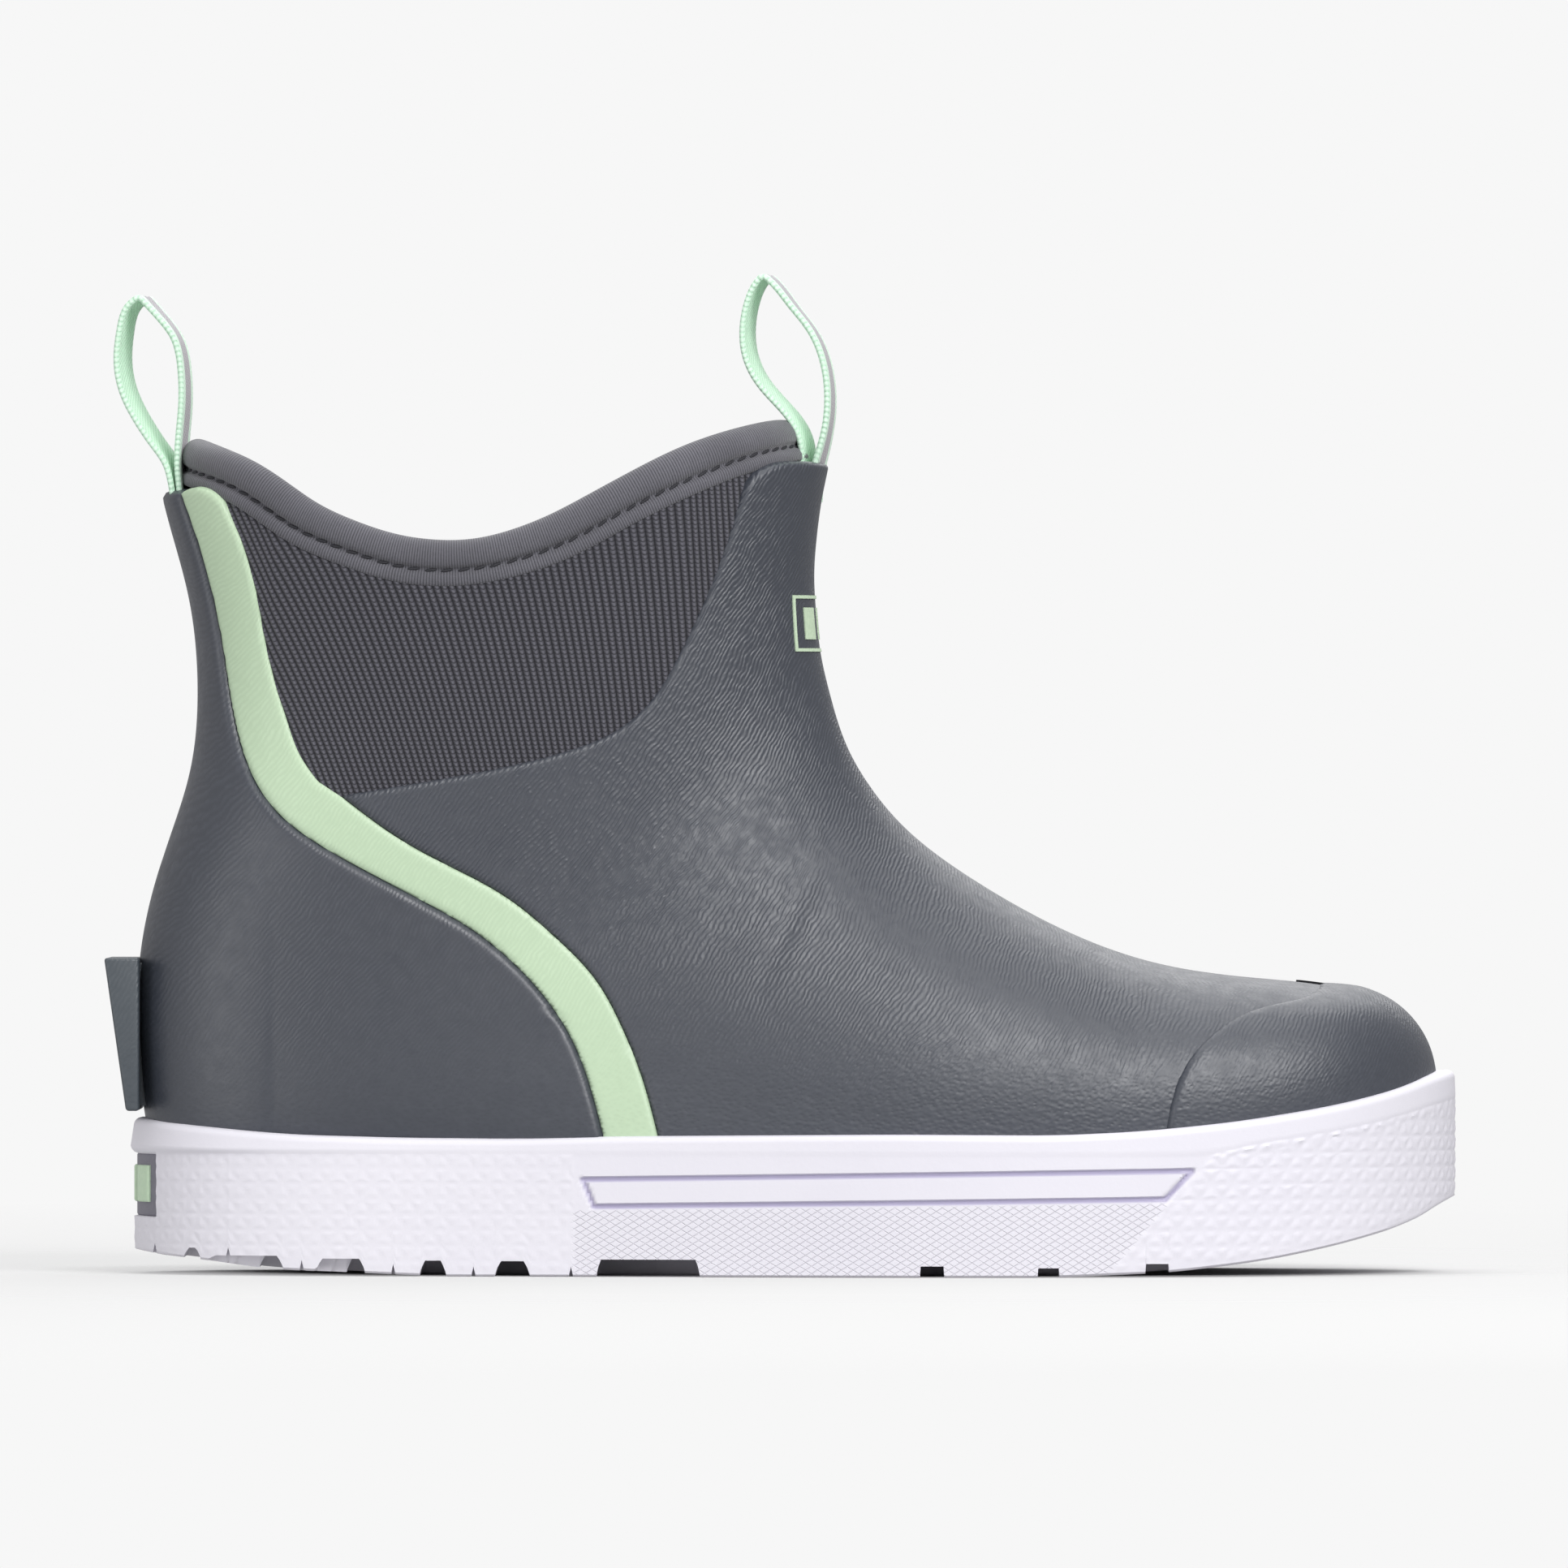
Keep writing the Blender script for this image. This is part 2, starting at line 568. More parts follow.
def sole_rubber():
    """White cup sole; the moulded pattern is real geometry, this adds its fine finish."""
    r = new_material("sole_white")
    fine = r.noise(900.0, 2.0)
    x, _, z = r.axes()
    dirt = r.span(r.noise(14.0, 5.0), 0.35, 0.75)
    colour = r.blend(dirt, (0.735, 0.72, 0.775), (0.70, 0.685, 0.75))
    colour = r.blend(r.attribute("groove"), colour, (0.43, 0.40, 0.55))
    lines = [r.span(((x + z * slope) * (math.pi / HATCH_PITCH)).hump(), 0.0, 0.32, 1.0, 0.0)
             for slope in (HATCH_SLOPE, -HATCH_SLOPE)]
    cross = r.math("MAXIMUM", *lines) * r.attribute("hatch")
    colour = r.blend(cross * 0.18, colour, (0.55, 0.53, 0.65))
    normal = r.bump(fine, 0.00008, 0.4, r.bump(1.0 - cross, 0.00028, 0.6))
    return r.finish(colour, r.span(fine, 0.3, 0.7, 0.42, 0.55), normal, Specular_IOR_Level=0.4)


def knit():
    """Ribbed stretch knit: the attribute says where a rib's top is."""
    r = new_material("knit_panel")
    rib = r.attribute("rib")
    loop = (r.attribute("run") * (math.pi / LOOP_PITCH) + rib * 1.4).hump()
    stitch = rib * r.span(loop, 0.0, 0.8, 0.25, 1.0)
    fuzz = r.noise(2600.0, 2.0)
    tone = stitch * r.span(fuzz, 0.3, 0.7, 0.75, 1.1)
    return r.finish(r.blend(tone, (0.010, 0.010, 0.013), (0.130, 0.128, 0.152)),
                    r.span(fuzz, 0.3, 0.7, 0.8, 0.95), r.bump(stitch + fuzz * 0.3, 0.0003, 0.8),
                    Specular_IOR_Level=0.2, Sheen_Weight=0.25, Sheen_Roughness=0.5)


def jersey(name, low, high, pitch):
    """Fine jersey whose ribs follow the 'run' attribute, in millimetres."""
    r = new_material(name)
    rib = (r.attribute("run") * (math.pi / pitch) + r.noise(160.0, 2.0) * 1.2).hump()
    fuzz = r.noise(2400.0, 2.0)
    tone = (rib * 0.7 + fuzz * 0.5) * r.span(r.noise(60.0, 3.0), 0.3, 0.7, 0.8, 1.05)
    return r.finish(r.blend(tone, low, high), r.span(fuzz, 0.3, 0.7, 0.75, 0.92),
                    r.bump(rib + fuzz * 0.4, 0.0002, 0.6),
                    Specular_IOR_Level=0.25, Sheen_Weight=0.3, Sheen_Roughness=0.5)


def webbing(name, low, high):
    """Woven strap: 'run' goes along it and 'cross' over its width, both in millimetres."""
    r = new_material(name)
    run, cross = r.attribute("run"), r.attribute("cross")
    pick = (run * (math.pi / PICK_PITCH) + cross * 1.1).hump()
    weave = pick * 0.6 + (cross * (math.pi / WARP_PITCH)).hump() * 0.4
    fuzz = r.noise(2200.0, 2.0)
    tone = weave * r.span(fuzz, 0.3, 0.7, 0.8, 1.1)
    return r.finish(r.blend(r.span(tone, 0.15, 0.85), low, high),
                    r.span(fuzz, 0.3, 0.7, 0.6, 0.8), r.bump(weave + fuzz * 0.3, 0.00025, 0.7),
                    Specular_IOR_Level=0.3, Sheen_Weight=0.2, Sheen_Roughness=0.5)


def plain(name, low, high, roughness, scale, depth, metal=0.0):
    """Simple moulded or pressed material with a fine mottled surface."""
    r = new_material(name)
    speck = r.noise(scale, 4.0)
    return r.finish(r.blend(r.span(speck, 0.3, 0.7), low, high),
                    r.span(speck, 0.3, 0.7, roughness - 0.05, roughness + 0.08),
                    r.bump(speck, depth, 0.5), Specular_IOR_Level=0.4, Metallic=metal)


GREY_LOW, GREY_HIGH = (0.034, 0.039, 0.052), (0.046, 0.052, 0.068)
upper_grey = rubber("upper_rubber_grey", GREY_LOW, GREY_HIGH, 0.47, 1.0)
heel_grey = rubber("heel_rubber_grey", GREY_LOW, GREY_HIGH, 0.44, 0.35)
kick_grey = rubber("kick_rubber_grey", (0.042, 0.054, 0.066), (0.060, 0.072, 0.085), 0.5, 0.4)
stripe_green = rubber("stripe_rubber_green", (0.44, 0.575, 0.395), (0.49, 0.63, 0.44), 0.5, 0.25)
slit_dark = plain("slit_shadow_rubber", (0.006, 0.006, 0.008), (0.012, 0.012, 0.015), 0.9, 900,
                  0.0001)
sole_white = sole_rubber()
knit_grey = knit()
binding_grey = jersey("binding_jersey", (0.020, 0.020, 0.025), (0.150, 0.148, 0.170), 0.62)
lining_grey = jersey("lining_jersey", (0.018, 0.018, 0.022), (0.085, 0.085, 0.098), 0.9)
bed_grey = jersey("footbed_jersey", (0.035, 0.035, 0.04), (0.11, 0.11, 0.125), 0.8)
foam_grey = plain("footbed_foam_grey", (0.03, 0.03, 0.035), (0.05, 0.05, 0.058), 0.85, 1400,
                  0.0002)
thread_dark = plain("stitch_thread", (0.018, 0.018, 0.022), (0.04, 0.04, 0.048), 0.7, 3000,
                    0.0001)
web_green = webbing("webbing_green", (0.44, 0.68, 0.50), (0.70, 0.90, 0.74))
web_grey = webbing("webbing_grey", (0.20, 0.19, 0.205), (0.44, 0.425, 0.45))
badge_grey = plain("badge_rubber", (0.17, 0.165, 0.20), (0.21, 0.205, 0.24), 0.55, 900, 0.0001)
mark_green = plain("raised_green", (0.50, 0.66, 0.47), (0.57, 0.72, 0.53), 0.5, 900, 0.0001)
print_green = plain("print_ink", (0.46, 0.58, 0.42), (0.56, 0.69, 0.50), 0.55, 1500, 0.00008)

# ---------------- rubber upper

RUBBER = 2.0              # thickness of the moulded upper
HEEL_RISE = 0.8           # how far the heel panel stands out from the vamp
CAP_RISE = 1.35           # how far the toe cap stands out
HIDDEN_BASE = 24.5        # the upper runs down inside the sole to here
GRID_ROWS, GRID_HALF = 460, 230

# Soft crease of the vamp: its ends (x, z), depth and width.
CREASE_TOP, CREASE_END, CREASE_DEPTH, CREASE_WIDTH = (12.5, 100.0), (-6.5, 60.0), 0.30, 2.4

upper_grid = foot_grid(GRID_ROWS, GRID_HALF)
upper_skin = foot_point(*upper_grid)
upper_faces = grid_faces(GRID_ROWS, 2 * GRID_HALF)
flat_skin, flat_out = upper_skin.reshape(-1, 3), grid_normals(upper_skin).reshape(-1, 3)
skin_tree = BVHTree.FromPolygons(flat_skin.tolist(), upper_faces.tolist())
collar_skin = foot_point(*upper_grid, 0.0, 1.0).reshape(-1, 3)
collar_tree = BVHTree.FromPolygons(collar_skin.tolist(), upper_faces.tolist())


def rubber_panel(name, edge, rise, radius, thickness, material, node=None, side=0,
                 dent=None, within=None):
    """Panel of the upper inside an outline, with a rounded edge."""
    x, y, z = flat_skin.T
    depth = inside_depth(x, z, edge)
    keep = np.minimum(depth, z - HIDDEN_BASE)
    if side:
        keep = np.minimum(keep, side * y - 6.0)
    if within:
        keep = np.minimum(keep, within(x, y))
    blend, polygons = clip(flat_skin, upper_faces, keep)
    points, out, depth = (mixed(v, blend) for v in (flat_skin, flat_out, depth))
    lift = rise - rounded(depth, radius)
    if dent:
        lift = lift - dent(points[:, 0], points[:, 2])
    points, polygons = thickened(points + out * lift[:, None], polygons, out, thickness)
    make(name, points, polygons, material, "boot", angle=50, node=node)


def cap_fade(x, z):
    """The toe cap's rim sinks into the vamp over the top of the toe."""
    return (CAP_RISE - 0.3) * np.clip((z - 56.5) / 7.0, 0, 1) * np.clip((128.0 - x) / 10.0, 0, 1)


def slit_room(x, y):
    """The small wedge-shaped mould mark at the top of the toe, widest at the cap's rim."""
    return np.interp(x, [113.6, 121.6], [0.3, 3.4]) - np.abs(y - 2.6)


def heel_bulge(x, z):
    """The heel panel is fuller low down at the back, so this dent is negative."""
    back = np.clip((-112.0 - x) / 20.0, 0, 1) ** 0.5
    return -back * np.interp(z, [30.0, 44.0, 70.0, 92.0], [1.7, 1.4, 0.5, 0.0])


def crease(x, z):
    """Soft crease where the vamp bends."""
    (x1, z1), (x2, z2) = CREASE_TOP, CREASE_END
    length = math.hypot(x2 - x1, z2 - z1)
    way = ((x - x1) * (x2 - x1) + (z - z1) * (z2 - z1)) / length ** 2
    off = ((x - x1) * (z2 - z1) - (z - z1) * (x2 - x1)) / length / CREASE_WIDTH
    hump = np.exp(-off ** 2) - 0.6 * np.exp(-((off + 1.6) / 1.5) ** 2)
    return CREASE_DEPTH * hump * np.sin(np.pi * np.clip(way, 0, 1)) ** 1.2


def build_upper():
    rubber_panel("vamp", vamp_outline, 0.0, 1.0, RUBBER, upper_grey, "vamp_shell",
                 dent=crease)
    rubber_panel("heel_panel", heel_outline, HEEL_RISE, 1.6, RUBBER + HEEL_RISE, heel_grey,
                 "heel_shell", dent=heel_bulge)
    rubber_panel("toe_cap_moulding", cap_outline, CAP_RISE, 1.6, 1.0, upper_grey,
                 "toe_cap", dent=cap_fade)
    rubber_panel("toe_slit", slit_outline, 0.45, 0.3, 1.0, slit_dark,
                 within=slit_room)
    for name, side in (("lateral", -1), ("medial", 1)):
        rubber_panel("stripe_" + name + "_rubber", stripe_outline, -0.15, 0.5, RUBBER,
                     stripe_green, "stripe_" + name, side)


build_upper()

# ---------------- knitted side panels

KNIT_DROP = 1.0           # the knit lies this far below the rubber
KNIT_THICKNESS = 1.0
RIB_PITCH = 1.4
RIB_HEIGHT = 0.22
RIB_PIVOT = 110.0         # height at which the ribs are counted


def rib_lean(x):
    """The ribs fan out: they lean more towards the heel."""
    return np.tan(np.radians(np.interp(x, [-112.0, -20.0], [24.0, 4.0])))


def on_skin(tree, x, z, side):
    """Point of a foot shape seen from the side at x, z."""
    hit = tree.ray_cast(Vector((x, side * 120.0, z)), Vector((0, -side, 0)))[0]
    return np.array(hit if hit else (x, side * 20.0, z))


def sum_area(points, polygons):
    """Area of a mesh of flat polygons, in square millimetres."""
    total = 0.0
    for polygon in polygons:
        corners = points[list(polygon)]
        fan = np.cross(corners[1:-1] - corners[0], corners[2:] - corners[0])
        total += np.linalg.norm(fan, axis=1).sum() / 2
    return total


def build_gore(side, name):
    """Stretch panel: a ribbed sheet under the rubber's edges, leaning in to the collar."""
    ribs = np.arange(-150.0, 6.0, RIB_PITCH / 5)
    heights = np.arange(103.0, 184.0, 0.8)
    count, rows = len(ribs), len(heights)
    points = np.zeros((rows, count, 3))
    for i, z in enumerate(heights):
        x = ribs
        for _ in range(6):
            x = ribs - rib_lean(x) * (z - RIB_PIVOT)
        share = np.clip((z - seam_height(x) + 14.0) / 10.0, 0, 1)
        for j in range(count):
            points[i, j] = on_skin(skin_tree, x[j], z, side)
            if share[j] > 0:
                lower = on_skin(collar_tree, x[j], z, side)
                points[i, j] += share[j] * (lower - points[i, j])
    out = unit(np.cross(np.gradient(points, axis=0), np.gradient(points, axis=1)) * side)
    if (out[:, :, 1] * side).mean() < 0:
        out = -out
    wave = 0.5 - 0.5 * np.cos(2 * np.pi * (ribs - ribs[0]) / RIB_PITCH)
    rib = np.tile(wave ** 0.8, rows)
    points, out = points.reshape(-1, 3), out.reshape(-1, 3)
    x, z = points[:, 0], points[:, 2]
    keep = np.minimum(inside_depth(x, z, window_outline) + 1.6, seam_height(x) - 1.6 - z)
    blend, polygons = clip(points, grid_faces(rows, count, closed=False, flip=side > 0), keep)
    points, out, rib, run = (mixed(v, blend) for v in (points, out, rib,
                                                       np.repeat(heights, count)))
    area = sum_area(points, polygons)
    points = points - out * (KNIT_DROP - RIB_HEIGHT * rib)[:, None]
    points, polygons = thickened(points, polygons, out, KNIT_THICKNESS)
    piece = make("gore_" + name + "_knit", points, polygons, knit_grey, "boot",
                 {"rib": np.tile(rib, 2), "run": np.tile(run, 2)}, node="gore_" + name)


build_gore(-1, "lateral")
build_gore(1, "medial")

# ---------------- sole

SOLE_OUTLINE = [(148.8, 5.0), (142.0, 27.0), (128.0, 40.6), (104.0, 49.8), (72.0, 53.2),
                (38.0, 49.8), (0.0, 42.6), (-40.0, 38.6), (-80.0, 37.8), (-112.0, 35.2),
                (-132.0, 24.5), (-142.9, 0.0), (-132.0, -24.5), (-112.0, -35.6), (-80.0, -38.4),
                (-40.0, -42.0), (0.0, -48.4), (38.0, -52.8), (72.0, -51.4), (104.0, -45.0),
                (128.0, -33.0), (142.0, -16.5)]
SOLE_TOP = [(-144.0, 34.9), (-136.2, 33.5), (-122.5, 32.2), (-108.0, 31.1), (-82.9, 30.4),
            (-57.9, 30.2), (-36.4, 30.8), (24.4, 31.3), (60.2, 31.1), (78.1, 31.9), (92.4, 33.2),
            (103.1, 34.4), (121.0, 37.2), (131.8, 39.6), (138.9, 41.6), (149.0, 45.4)]
SOLE_BOTTOM = [(-144.0, 6.2), (-142.0, 5.0), (-137.0, 4.4), (-129.0, 3.8), (-113.4, 1.6), (-93.0, 0.8),
               (-74.5, 0.0), (60.0, 0.0), (85.1, 1.1), (103.3, 3.2), (114.8, 5.3), (126.2, 7.9),
               (137.7, 11.3), (145.5, 15.2), (149.0, 18.6)]
# Cross grooves of the tread: rear end, front end, ceiling, slope of the walls, and how much wider
# the groove is towards the heel where it opens through the side.
TREAD_GROOVES = [(-130.2, -128.9, 6.1, 1.2, 0.0), (-113.3, -110.8, 4.5, 1.4, 11.0),
                 (-94.2, -92.7, 3.9, 1.3, 6.5), (-78.2, -74.8, 3.5, 1.2, 0.0),
                 (-61.5, -56.6, 3.4, 1.4, 0.0), (-39.6, -18.9, 3.8, 1.0, 0.0),
                 (30.4, 35.4, 2.5, 0.15, 0.0), (56.1, 60.6, 2.1, 0.15, 0.0),
                 (79.7, 84.6, 3.0, 0.15, 0.0)]
GROOVE_REACH = 21.0       # the grooves stop at a rib along the middle of the tread
FLARE_DEPTH = 4.2         # how far in from the side the grooves are flared
SIPES = [-138.0, -121.5, -105.3, -85.2, -67.6, -46.2]
SOLE_STEP = 0.6
# Lines that the rows of the side wall follow: x and height.
PANEL_LOW = [(-150, 15.4), (-42, 15.4), (84, 17.1), (112, 19.5), (135, 24.5), (150, 28.0)]
PANEL_HIGH = [(-150, 21.3), (-44.5, 21.3), (90, 23.3), (112, 25.2), (135, 29.5), (150, 33.0)]
LIP_LOW = [(-150, 27.2), (-44, 27.0), (80, 26.8), (94.5, 26.9), (102.2, 29.0), (119.3, 31.5),
           (132.5, 34.1), (150, 39.2)]
PANEL_ENDS = [(-43.6, 21.3), (-41.2, 15.4), (84.0, 17.1), (89.9, 23.3)]
GROOVE_WIDTH, GROOVE_DEPTH = 1.45, 0.75
RELIEF_SIDE, RELIEF_ROW, RELIEF_HEIGHT = 5.0, 3.4, 0.31
BADGE = (-17.0, 17.0, 12.7, 26.7)      # low y, high y, low z, high z
BADGE_DEPTH = 1.3
LIP_SPLIT = 0.35          # rows of the wall stay this far on either side of the lip's lower edge
LIP_ROLL = 1.6            # radius of the lip's rounded top
SIPE_HALF, SIPE_RISE, SIPE_REACH = 0.45, 1.8, 4.0
WALL_COUNTS = (26, 6, 8, 6, 8, 4, 9, 7)      # rows between the lines of the side wall
UNDER_DEPTHS = (0.5, 1.2, 2.0, 3.0, 3.6, 4.2, 6.0, 10.0, 17.5, 18.5, 19.5, 20.5, 21.5, 32.0, 60.0)


def read_line(line, x, blur=6.0):
    """Height of a line at x, with its corners rounded over a length of blur."""
    shifts = np.linspace(-blur, blur, 9)
    return sum(np.interp(x + shift, *np.array(line, float).T) for shift in shifts) / len(shifts)


def tread_height(x, depth):
    """Underside of the sole at x and depth in from the side, with its cross grooves and sipes."""
    wall = read_line(SOLE_BOTTOM, x) + 0.5 * np.clip(1 - depth, 0, 1) ** 2
    z = wall
    deep = np.clip((GROOVE_REACH - depth) / 3.0, 0, 1)
    for rear, front, ceiling, slope, flare in TREAD_GROOVES:
        open_from = rear - flare * np.clip((FLARE_DEPTH - depth) / 1.2, 0, 1)
        inside = np.clip(np.minimum(x - open_from, front - x) / slope + 1, 0, 1)
        z = np.maximum(z, wall + (ceiling - wall) * inside ** 0.7 * deep)
    for place in SIPES:
        z = z + (SIPE_RISE * np.clip(1 - np.abs(x - place) / SIPE_HALF, 0, 1)
                 * np.clip(SIPE_REACH - depth, 0, 1))
    return z


def sole_columns():
    """Places round the outline, evenly spaced with extra ones at each groove's walls, with their
    points and outward directions."""
    ring = ring_through(SOLE_OUTLINE, 6000)
    closed = np.vstack([ring, ring[:1]])
    length = run_length(closed)
    places = list(np.arange(0, length[-1], SOLE_STEP))
    edges = []
    for rear, front, _, slope, _ in TREAD_GROOVES:
        edges += [rear - slope, rear, front, front + slope]
    for place in SIPES:
        edges += [place - SIPE_HALF, place, place + SIPE_HALF]
    x = closed[:, 0]
    for edge in edges:
        for i in np.nonzero((x[:-1] - edge) * (x[1:] - edge) < 0)[0]:
            share = (edge - x[i]) / (x[i + 1] - x[i])
            places.append(length[i] + share * (length[i + 1] - length[i]))
    places = np.unique(np.round(places, 4))
    places = places[np.concatenate([[True], np.diff(places) > 0.03])]
    points = read_along(places, length, closed)
    step = np.roll(ring, -1, axis=0) - np.roll(ring, 1, axis=0)
    way = read_along(places, length, np.vstack([step, step[:1]]))
    out = unit(np.stack([way[:, 1], -way[:, 0]], 1))
    return places, points, -out if (out * points).sum() < 0 else out


def pyramids(along, z):
    """Height of the three-sided pyramid relief."""
    row = z / RELIEF_ROW
    column = along / RELIEF_SIDE - 0.5 * row
    a, b = column % 1.0, row % 1.0
    upright = a + b < 1
    first, second = np.where(upright, (a, b), (1 - a, 1 - b))
    return 3 * np.minimum(np.minimum(first, second), 1 - first - second)


def wall_heights(x, top):
    """Heights of the rows of the side wall, which follow its lines."""
    half = GROOVE_WIDTH / 2
    low, high, lip = (read_line(line, x) for line in (PANEL_LOW, PANEL_HIGH, LIP_LOW))
    knots = [tread_height(x, 0.0), low - half, low + half, high - half, high + half,
             lip - LIP_SPLIT, lip + LIP_SPLIT, top - LIP_ROLL, top]
    rows = [knots[0]]
    for start, stop, count in zip(knots, knots[1:], WALL_COUNTS):
        rows += [start + (stop - start) * k / count for k in range(1, count + 1)]
    return np.array(rows)


def wall_pattern(x, y, z, along, top):
    """How far the side wall is pushed out, and the shares of it in a groove and in the hatch."""
    half = GROOVE_WIDTH / 2
    flank = np.abs(y) > 20
    panel = inside_depth(x, z, np.array(PANEL_ENDS))
    groove = np.clip(1 - (np.abs(panel) - half * 0.45) / (half * 0.55), 0, 1) * flank
    lip = read_line(LIP_LOW, x)
    # The relief covers the heel and the toe, up to slanted ends beside the panel.
    toe_start = np.where(z > 17.1, 85.0 + (z - 17.1) * 0.98, 72.0 + (z - 2.0) * 0.86)
    heel = np.clip((-45.2 - x) / 0.9, 0, 1)
    toe = np.clip((x - toe_start) / 0.9, 0, 1)
    relief = (pyramids(along, z) * np.maximum(heel, toe) * np.clip((lip - z) / 0.7, 0, 1)
              * np.clip((z - read_line(SOLE_BOTTOM, x) - 1.0) / 0.8, 0, 1)
              * np.interp(x, [-60.0, 60.0], [0.6, 1.0]))
    under_panel = np.clip((read_line(PANEL_LOW, x) - half - z) / 0.5, 0, 1)
    hatch = (1 - heel) * (1 - toe) * under_panel * flank
    push = RELIEF_HEIGHT * relief - GROOVE_DEPTH * groove
    # The lip band stands proud of the relief, most at its lower edge, and rolls over at the top.
    proud = np.interp(x, [-140, -110, -60, 60, 110, 145], [1.1, 0.45, 0.12, 0.12, 0.2, 0.25])
    fall = np.clip((top - z) / np.maximum(top - lip, 1.0), 0, 1)
    push += proud * np.clip((z - lip + 0.5) / 1.2, 0, 1) * fall
    dash = np.clip(np.sin(2 * np.pi * along / 4.1) * 3 + 1.2, 0, 1) * toe
    push += 0.24 * dash * np.exp(-((z - lip + 0.75) / 0.38) ** 2)
    roll = np.clip((z - (top - LIP_ROLL)) / LIP_ROLL, 0, 1)
    push -= LIP_ROLL * (1 - np.sqrt(np.maximum(1 - roll ** 2, 0)))
    badge = (np.abs(y) < BADGE[1]) & (x < -120) & (z > BADGE[2]) & (z < BADGE[3])
    return np.where(badge, -BADGE_DEPTH, push), groove, hatch


def build_sole():
    places, ring, out = sole_columns()
    x, y = ring.T
    count = len(x)
    top = read_line(SOLE_TOP, x)
    z = wall_heights(x, top)
    spread = [np.tile(v, (len(z), 1)) for v in (x, y, places)]
    push, groove, hatch = wall_pattern(spread[0], spread[1], z, spread[2], top)
    rows = list(np.stack([x + push * out[:, 0], y + push * out[:, 1], z], -1))
    # The lip's flat top runs in to the upper, then down out of sight beside it.
    for reach, drop in ((0.8, 0.0), (3.0, 0.1), (7.0, 0.4)):
        rows.append(np.column_stack([ring - (LIP_ROLL + reach) * out, top - drop]))
    wall = len(rows)
    faces = grid_faces(wall, count).tolist()
    # Underside: strips from the ring to the middle line.
    centre_line = np.interp(x, [-143, 0, 149], [0, -2.5, 4])
    reach = np.abs(y - centre_line)
    numbers = np.arange(count)
    previous = numbers
    for depth in UNDER_DEPTHS:
        share = np.clip(depth / np.maximum(reach, 1e-3), 0, 1)
        current = len(rows) * count + numbers
        faces += bridge(current, previous)
        previous = current
        rows.append(np.stack([x, (1 - share) * y + share * centre_line,
                              tread_height(x, np.minimum(depth, reach))], -1))
    rest = np.zeros(len(rows) * count - groove.size)
    make("cup_sole", np.concatenate(rows), faces, sole_white, "boot",
         {"groove": np.append(groove, rest), "hatch": np.append(hatch, rest)}, 38, "outsole")


build_sole()

# ---------------- collar binding and lining

COLLAR_START = GIRTH_KNOTS[14]
LINER_OUTER, LINER_INNER = 2.3, 5.1
STITCH_PITCH, STITCH_LENGTH = 3.6, 2.6
# Section of the binding: depth outside the lining's line and height above the seam.
ROLL_SECTION = [(-1.9, -3.5), (-0.75, -3.45), (-0.35, -2.9), (-0.2, -2.0), (-0.35, -1.1),
                (-0.95, -0.55), (-1.3, -0.1), (-1.2, 0.35), (-0.55, 0.75), (0.05, 1.5), (0.3, 2.7),
                (0.15, 4.1), (-0.5, 5.5), (-1.6, 6.4), (-3.0, 6.75), (-4.4, 6.3), (-5.4, 5.1),
                (-5.8, 3.4), (-5.7, 1.4), (-5.3, -0.6), (-5.1, -2.4), (-3.6, -3.2)]
SEAM_COLUMNS = 1150
# A stitch: places along its length and how thick it is there.
STITCH = [(-0.5, 0.02), (-0.46, 0.6), (-0.3, 0.95), (0, 1.0), (0.3, 0.95), (0.46, 0.6), (0.5, 0.02)]
STITCH_TILT = 0.18


def collar_stations(turns, grow, drop=0.0):
    """Where the leaning foot shape reaches the binding's seam, for each turn."""
    def below(stations):
        point = foot_point(stations, turns, grow, 1.0)
        return point[..., 2] <= seam_height(point[..., 0]) - drop

    return bisect(np.full(turns.shape, COLLAR_START), np.full(turns.shape, GIRTH_END), below)


def even_turns(count):
    """Turns spaced evenly along the collar's seam, their places along it and its length."""
    turns = np.linspace(-np.pi, np.pi, 2001)
    length = run_length(foot_point(collar_stations(turns, 0.0), turns, 0.0, 1.0))
    places = np.linspace(0, length[-1], count, endpoint=False)
    return np.interp(places, length, turns), places, length[-1]


def collar_frame():
    """Points of the seam with their directions along, out and up, and length along it."""
    turns, places, total = even_turns(SEAM_COLUMNS)
    stations = collar_stations(turns, 0.0)
    line, above, below = (foot_point(stations + k, turns, 0.0, 1.0) for k in (0, 1, -1))
    along = unit(np.roll(line, -1, axis=0) - np.roll(line, 1, axis=0))
    out = unit(np.cross(along, above - below))
    if ((line - line.mean(0)) * out).sum() < 0:
        out = -out
    up = np.cross(out, along)
    return line, along, out, up * np.sign(up[:, 2].mean()), places, total


def build_binding(line, out, up, places, total):
    """Padded roll round the collar, a little uneven along its length."""
    wobble = (1 + 0.035 * np.sin(places * 2 * np.pi * 3 / total + 0.6)
              + 0.02 * np.sin(places * 2 * np.pi * 11 / total))
    rows = []
    for depth, height in ring_through(ROLL_SECTION, 72):
        tall = height * wobble if height > 0.5 else np.full(len(line), height)
        rows.append(line + out * depth + up * tall[:, None])
    faces = grid_faces(len(rows) + 1, len(line)) % (len(rows) * len(line))
    binding = make("collar_roll", np.concatenate(rows), faces.tolist(), binding_grey, "boot",
                   {"run": np.tile(places, len(rows))}, node="collar_binding")


